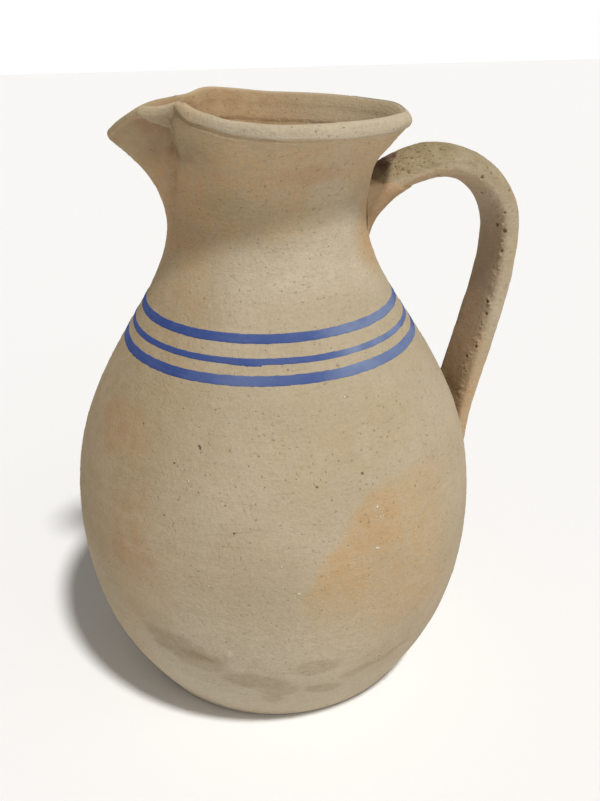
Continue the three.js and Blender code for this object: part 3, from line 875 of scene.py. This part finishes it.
def slip_band(name, height, width, overlap, seed):
    """A brushed ring of slip, dry at the right. A second stroke comes out below by overlap."""
    around = np.linspace(0, 2 * math.pi, SLIP_STEPS, endpoint=False)
    across = np.linspace(-1, 1, SLIP_ROWS)
    ring = np.stack([np.cos(around), np.sin(around), around * 0], 1) * radius_at(height)
    signed = signed_degrees(around)
    dry = 1 + 1.6 * step(96, 116, signed)
    top, bottom = (
        width / 2 + dry * (0.06 * noise(ring, 9, first) + 0.035 * noise(ring, 1.5, first + 1))
        for first in (seed + 1, seed + 3)
    )
    bottom = bottom + overlap * np.clip((signed - 66) / 9, 0, 1) * (signed < 81)
    middle = height + 0.25 * noise(ring, 70, seed)
    z = middle[None] + np.where(across[:, None] > 0, top[None], bottom[None]) * across[:, None]
    slope = radius_at(z + 0.5) - radius_at(z - 0.5)
    level = 1 / np.hypot(1, slope)
    face = on_wall(around, z)
    normal = np.stack([-level * np.cos(around), -level * np.sin(around), -slope * level], -1)
    raised = 0.16 * (1 - across ** 8)[:, None] + 0.03 * noise(face, 2.0, seed + 5) - 0.02
    front = face + normal * (relief(face, z) + raised)[..., None]
    back = face[[-1, 0]] - normal[[-1, 0]] * 1.2
    points = np.concatenate([front, back])
    rows, columns = points.shape[:2]
    first = np.arange(columns)
    second = (first + 1) % columns
    last = (rows - 1) * columns
    seam = np.stack([last + first, last + second, second, first], 1)
    cloud = noise(points, 9, seed + 6) + 0.5 * noise(points, 3, seed + 7)
    # The paler tone that rises from 45 to 80 degrees leaves the band's left end darker: painted shade. The
    # stronger pale at the right is dry, powdery slip.
    powder = 0.02 + 0.14 * step(45, 80, signed) + 0.48 * step(98, 117, signed) * step(178, 150, signed)
    powder = powder + 0.24 * bump(signed, 72, 15) * (height < 176)
    powder = powder[None, :] + cloud * (0.06 + 0.14 * step(96, 112, signed))[None, :]
    return make_object(
        name, points, np.concatenate([grid_faces(rows, columns, True).reshape(-1, 4), seam]), (), None,
        clipped({"powder": powder}),
    )


bands = {}
for number, (node_name, (height, width)) in enumerate(BANDS.items()):
    name = node_name.replace("slip_band", "brushed_slip")
    bands[node_name] = slip_band(name, height, width, 0.45 if number == 1 else 0, 50 + 8 * number)


# Materials.

def material(name):
    made = bpy.data.materials.new(name)
    made.use_nodes = True
    tree = made.node_tree
    shader = tree.nodes["Principled BSDF"]
    shader.inputs["Roughness"].default_value = 0.88
    shader.inputs["Specular IOR Level"].default_value = 0.18
    return made, tree, shader


def node(tree, kind, inputs, **settings):
    """Adds a node and gives back its outputs. Each input is a value or another node's output."""
    made = tree.nodes.new("ShaderNode" + kind)
    for name, value in settings.items():
        setattr(made, name, value)
    for key, value in inputs.items():
        if isinstance(value, bpy.types.NodeSocket):
            tree.links.new(value, made.inputs[key])
        else:
            made.inputs[key].default_value = value
    return made.outputs


def grain(tree, place, scale, detail):
    inputs = {"Vector": place, "Scale": scale, "Detail": detail, "Roughness": 0.55}
    return node(tree, "TexNoise", inputs)["Fac"]


def ramp(tree, value, low, high, to_low=0.0, to_high=1.0):
    inputs = {"Value": value, "From Min": low, "From Max": high, "To Min": to_low, "To Max": to_high}
    return node(tree, "MapRange", inputs, interpolation_type="SMOOTHSTEP")["Result"]


def mixed(tree, factor, a, b):
    return node(tree, "Mix", {0: factor, 6: a, 7: b}, data_type="RGBA")[2]


def rgb(red, green, blue):
    """A colour from the values 0 to 255 that a screen shows."""
    def linear(value):
        value /= 255
        return value / 12.92 if value <= 0.04045 else ((value + 0.055) / 1.055) ** 2.4
    return (linear(red), linear(green), linear(blue), 1)


def mask(tree, name):
    return node(tree, "Attribute", {}, attribute_name=name)["Fac"]


def bumps(tree, shader, layers):
    """Chains bump nodes, each layer a height, how deep it is in metres, and its strength."""
    below = {}
    for height, depth, strength in layers:
        inputs = {"Height": height, "Distance": depth, "Strength": strength, **below}
        below = {"Normal": node(tree, "Bump", inputs)["Normal"]}
    tree.links.new(below["Normal"], shader.inputs["Normal"])


def math_node(tree, operation, a, b):
    return node(tree, "Math", {0: a, 1: b}, operation=operation)[0]


def vector_node(tree, operation, *inputs):
    return node(tree, "VectorMath", dict(enumerate(inputs)), operation=operation)


def specks(tree, place, scale, size, share):
    """Dots in a share of the cells of a Voronoi pattern, size being part of a cell."""
    cells = node(tree, "TexVoronoi", {"Vector": place, "Scale": scale})
    chance = node(tree, "SeparateColor", {0: cells["Color"]})[0]
    dot = ramp(tree, cells["Distance"], size, size * 0.55)
    return math_node(tree, "MULTIPLY", dot, math_node(tree, "LESS_THAN", chance, share))


def spots(tree, place, marks):
    """Single marks on the belly, each an angle from the spout in degrees, a height and a radius."""
    total = 0.0
    for degrees, height, radius in marks:
        middle = Vector(on_wall(math.radians(degrees), height) * MILLIMETRE)
        away = vector_node(tree, "DISTANCE", place, middle)["Value"]
        dot = ramp(tree, away, radius * MILLIMETRE, radius * MILLIMETRE / 2)
        total = math_node(tree, "MAXIMUM", total, dot)
    return total


def stretched(tree, place, factors):
    return vector_node(tree, "MULTIPLY", place, factors)[0]


PIT_MARKS = [
    (108.7, 137.9, 0.85), (95.5, 136.3, 0.6), (62.6, 150.3, 0.65), (62.9, 149.6, 0.5), (55.5, 142.6, 0.5),
    (71.2, 130.0, 0.5), (73.7, 119.3, 0.55), (54.5, 121.8, 0.5), (41.2, 152.5, 0.45),
]
FLECK_MARKS = [
    (110.2, 106.4, 1.05), (110.8, 105.7, 0.8), (108.7, 165.7, 0.6), (111.6, 123.5, 0.6),
    (112.2, 119.0, 0.55), (111.0, 119.8, 0.5), (112.8, 120.5, 0.5), (113.1, 119.2, 0.45),
    (60.6, 137.2, 0.55), (67.2, 95.0, 0.55), (89.4, 92.4, 0.7), (85.4, 105.7, 0.5),
]


def warped(tree, place, scale, amount):
    """The place pushed about by noise, so that round marks get uneven edges."""
    wander = node(tree, "TexNoise", {"Vector": place, "Scale": scale})["Color"]
    push = vector_node(tree, "MULTIPLY_ADD", wander, (amount,) * 3, (-amount / 2,) * 3)[0]
    return vector_node(tree, "ADD", place, push)[0]


def clay_material():
    made, tree, shader = material("fired clay")
    place = tree.nodes.new("ShaderNodeTexCoord").outputs["Object"]
    broad = grain(tree, place, 30, 4)
    mottle = grain(tree, place, 160, 4)
    fine = grain(tree, place, 700, 4)
    sand = grain(tree, place, 1700, 3)
    turning = grain(tree, stretched(tree, place, (1, 1, 13)), 85, 3)
    uneven_place = warped(tree, place, 700, 0.0016)
    pits = specks(tree, uneven_place, 190, 0.085, 0.06)
    grit = specks(tree, uneven_place, 360, 0.17, 0.6)
    rough = mask(tree, "rough")
    coarse = grain(tree, place, 900, 2)
    rough_pits = math_node(tree, "MULTIPLY", rough, specks(tree, uneven_place, 560, 0.30, 0.65))
    rough_grit = math_node(tree, "MULTIPLY", rough, specks(tree, uneven_place, 520, 0.24, 0.6))
    pit_marks = spots(tree, uneven_place, PIT_MARKS)
    fleck_marks = spots(tree, uneven_place, FLECK_MARKS)
    uneven = ramp(tree, mottle, 0.3, 0.7, 0.62, 1.2)
    colour = mixed(tree, ramp(tree, broad, 0.35, 0.65), rgb(178, 163, 138), rgb(186, 172, 149))
    # The dark and shade tones also carry painted shade: under the lip band, in the crease valleys, inside
    # the mouth, on the left side, and in the strap's crotch and at its root.
    for name, tone in (
        ("warm", rgb(192, 160, 118)), ("olive", rgb(162, 149, 117)), ("red", rgb(166, 126, 101)),
        ("pale", rgb(193, 180, 157)), ("dark", rgb(118, 93, 58)), ("shade", rgb(96, 68, 57)),
    ):
        colour = mixed(tree, math_node(tree, "MULTIPLY", mask(tree, name), uneven), colour, tone)
    for factor, tone in (
        (ramp(tree, fine, 0.38, 0.75, 0.0, 0.28), rgb(152, 137, 110)),
        (ramp(tree, turning, 0.60, 0.72, 0.0, 0.22), rgb(140, 124, 98)),
        (ramp(tree, sand, 0.62, 0.74, 0.0, 0.40), rgb(208, 196, 174)),
        (ramp(tree, sand, 0.36, 0.27, 0.0, 0.40), rgb(126, 109, 84)),
        (ramp(tree, pits, 0, 1, 0.0, 0.4), rgb(112, 96, 74)),
        (ramp(tree, grit, 0, 1, 0.0, 0.3), rgb(206, 194, 170)),
        (ramp(tree, rough_pits, 0, 1, 0.0, 0.6), rgb(96, 80, 58)),
        (ramp(tree, rough_grit, 0, 1, 0.0, 0.6), rgb(210, 198, 172)),
        (ramp(tree, pit_marks, 0, 1, 0.0, 0.75), rgb(88, 74, 56)),
        (ramp(tree, fleck_marks, 0, 1, 0.0, 0.85), rgb(228, 220, 204)),
    ):
        colour = mixed(tree, factor, colour, tone)
    tree.links.new(colour, shader.inputs["Base Color"])
    bumps(tree, shader, [
        (fine, 0.0005, 0.7), (sand, 0.00025, 1.0), (turning, 0.0004, 0.25),
        (math_node(tree, "SUBTRACT", grit, pits), 0.0006, 0.9),
        (math_node(tree, "SUBTRACT", rough_grit, rough_pits), 0.0004, 0.8),
        (math_node(tree, "MULTIPLY", rough, coarse), 0.0006, 0.7),
        (math_node(tree, "SUBTRACT", fleck_marks, pit_marks), 0.0006, 0.8),
    ])
    return made


def slip_material():
    made, tree, shader = material("blue slip")
    place = tree.nodes.new("ShaderNodeTexCoord").outputs["Object"]
    broad = grain(tree, place, 60, 4)
    fine = grain(tree, place, 900, 4)
    strokes = grain(tree, stretched(tree, place, (1, 1, 16)), 90, 3)
    colour = mixed(tree, ramp(tree, broad, 0.4, 0.7, 0.0, 0.5), rgb(54, 74, 134), rgb(66, 86, 142))
    # Paler where the slip is dry and powdery, and along its lit part as painted light.
    colour = mixed(tree, mask(tree, "powder"), colour, rgb(124, 138, 168))
    colour = mixed(tree, ramp(tree, strokes, 0.52, 0.72, 0.0, 0.35), colour, rgb(92, 108, 156))
    colour = mixed(tree, ramp(tree, fine, 0.62, 0.80, 0.0, 0.40), colour, rgb(150, 148, 150))
    tree.links.new(colour, shader.inputs["Base Color"])
    bumps(tree, shader, [(fine, 0.0003, 0.6), (strokes, 0.0002, 0.4)])
    return made


clay = clay_material()
slip = slip_material()
for piece, node_name in ((body, "body"), (spout, "spout"), (strap, "handle"), (web, "handle_web")):
    piece.data.materials.append(clay)
    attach(piece, "root")
    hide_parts(node_name)
for node_name, piece in bands.items():
    piece.data.materials.append(slip)
    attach(piece, "root")
    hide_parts(node_name)


# The floor, the light and the camera.

def white_to_camera(tree, shader, white):
    """Mixes in plain white for what the camera, a gloss or a glass sees directly."""
    path = node(tree, "LightPath", {})
    seen = path["Is Camera Ray"]
    for name in ("Is Glossy Ray", "Is Transmission Ray"):
        seen = math_node(tree, "MAXIMUM", seen, path[name])
    return node(tree, "MixShader", {0: seen, 1: shader, 2: white})[0]


def make_world():
    world = bpy.data.worlds.new("studio")
    world.use_nodes = True
    tree = world.node_tree
    fill = tree.nodes["Background"]
    fill.inputs["Color"].default_value = (1, 0.955, 0.88, 1)
    fill.inputs["Strength"].default_value = 0.20
    white = node(tree, "Background", {"Color": (1, 1, 1, 1)})[0]
    surface = white_to_camera(tree, fill.outputs[0], white)
    tree.links.new(surface, tree.nodes["World Output"].inputs["Surface"])
    bpy.context.scene.world = world


def make_floor():
    mesh = bpy.data.meshes.new("floor")
    mesh.from_pydata([(-3, -3, 0), (3, -3, 0), (3, 3, 0), (-3, 3, 0)], [], [(0, 1, 2, 3)])
    floor = bpy.data.objects.new("floor", mesh)
    bpy.context.scene.collection.objects.link(floor)
    made, _, shader = material("pale floor")
    shader.inputs["Base Color"].default_value = (0.93, 0.935, 0.95, 1)
    mesh.materials.append(made)


def make_lamp(name, energy, spread, towards):
    """A distant lamp that shines from the direction towards, softened over an angle in degrees."""
    lamp = bpy.data.lights.new(name, "SUN")
    lamp.energy = energy
    lamp.angle = math.radians(spread)
    lamp.color = (1.0, 0.985, 0.955)
    obj = bpy.data.objects.new(name, lamp)
    bpy.context.scene.collection.objects.link(obj)
    obj.rotation_euler = Vector(towards).to_track_quat("Z", "Y").to_euler()


def make_camera():
    level, steep = math.cos(CAMERA_PITCH), math.sin(CAMERA_PITCH)
    east, north = math.sin(CAMERA_YAW), math.cos(CAMERA_YAW)
    forward = Vector((east * level, north * level, -steep))
    right = Vector((north, -east, 0))
    above = Vector((east * steep, north * steep, level))
    x_axis = right * math.cos(CAMERA_ROLL) + above * math.sin(CAMERA_ROLL)
    y_axis = above * math.cos(CAMERA_ROLL) - right * math.sin(CAMERA_ROLL)
    upright = Matrix((x_axis, y_axis, -forward)).transposed()
    rotation = Matrix.Rotation(CAMERA_TURN, 3, "Z") @ upright
    lens = bpy.data.cameras.new("camera")
    lens.sensor_width = SENSOR
    lens.sensor_fit = "AUTO"
    lens.lens = FOCAL_PIXELS * SENSOR / PICTURE_HEIGHT
    lens.clip_start = 0.01
    camera = bpy.data.objects.new("camera", lens)
    camera.matrix_world = Matrix.Translation(CAMERA_PLACE) @ rotation.to_4x4()
    bpy.context.scene.collection.objects.link(camera)
    bpy.context.scene.camera = camera


make_world()
make_floor()
make_lamp("key", 2.7, 6, (0.214, -0.400, 0.891))
make_lamp("fill", 0.45, 90, (0.55, -0.80, 0.25))
make_camera()
bpy.context.scene.view_settings.view_transform = "Standard"
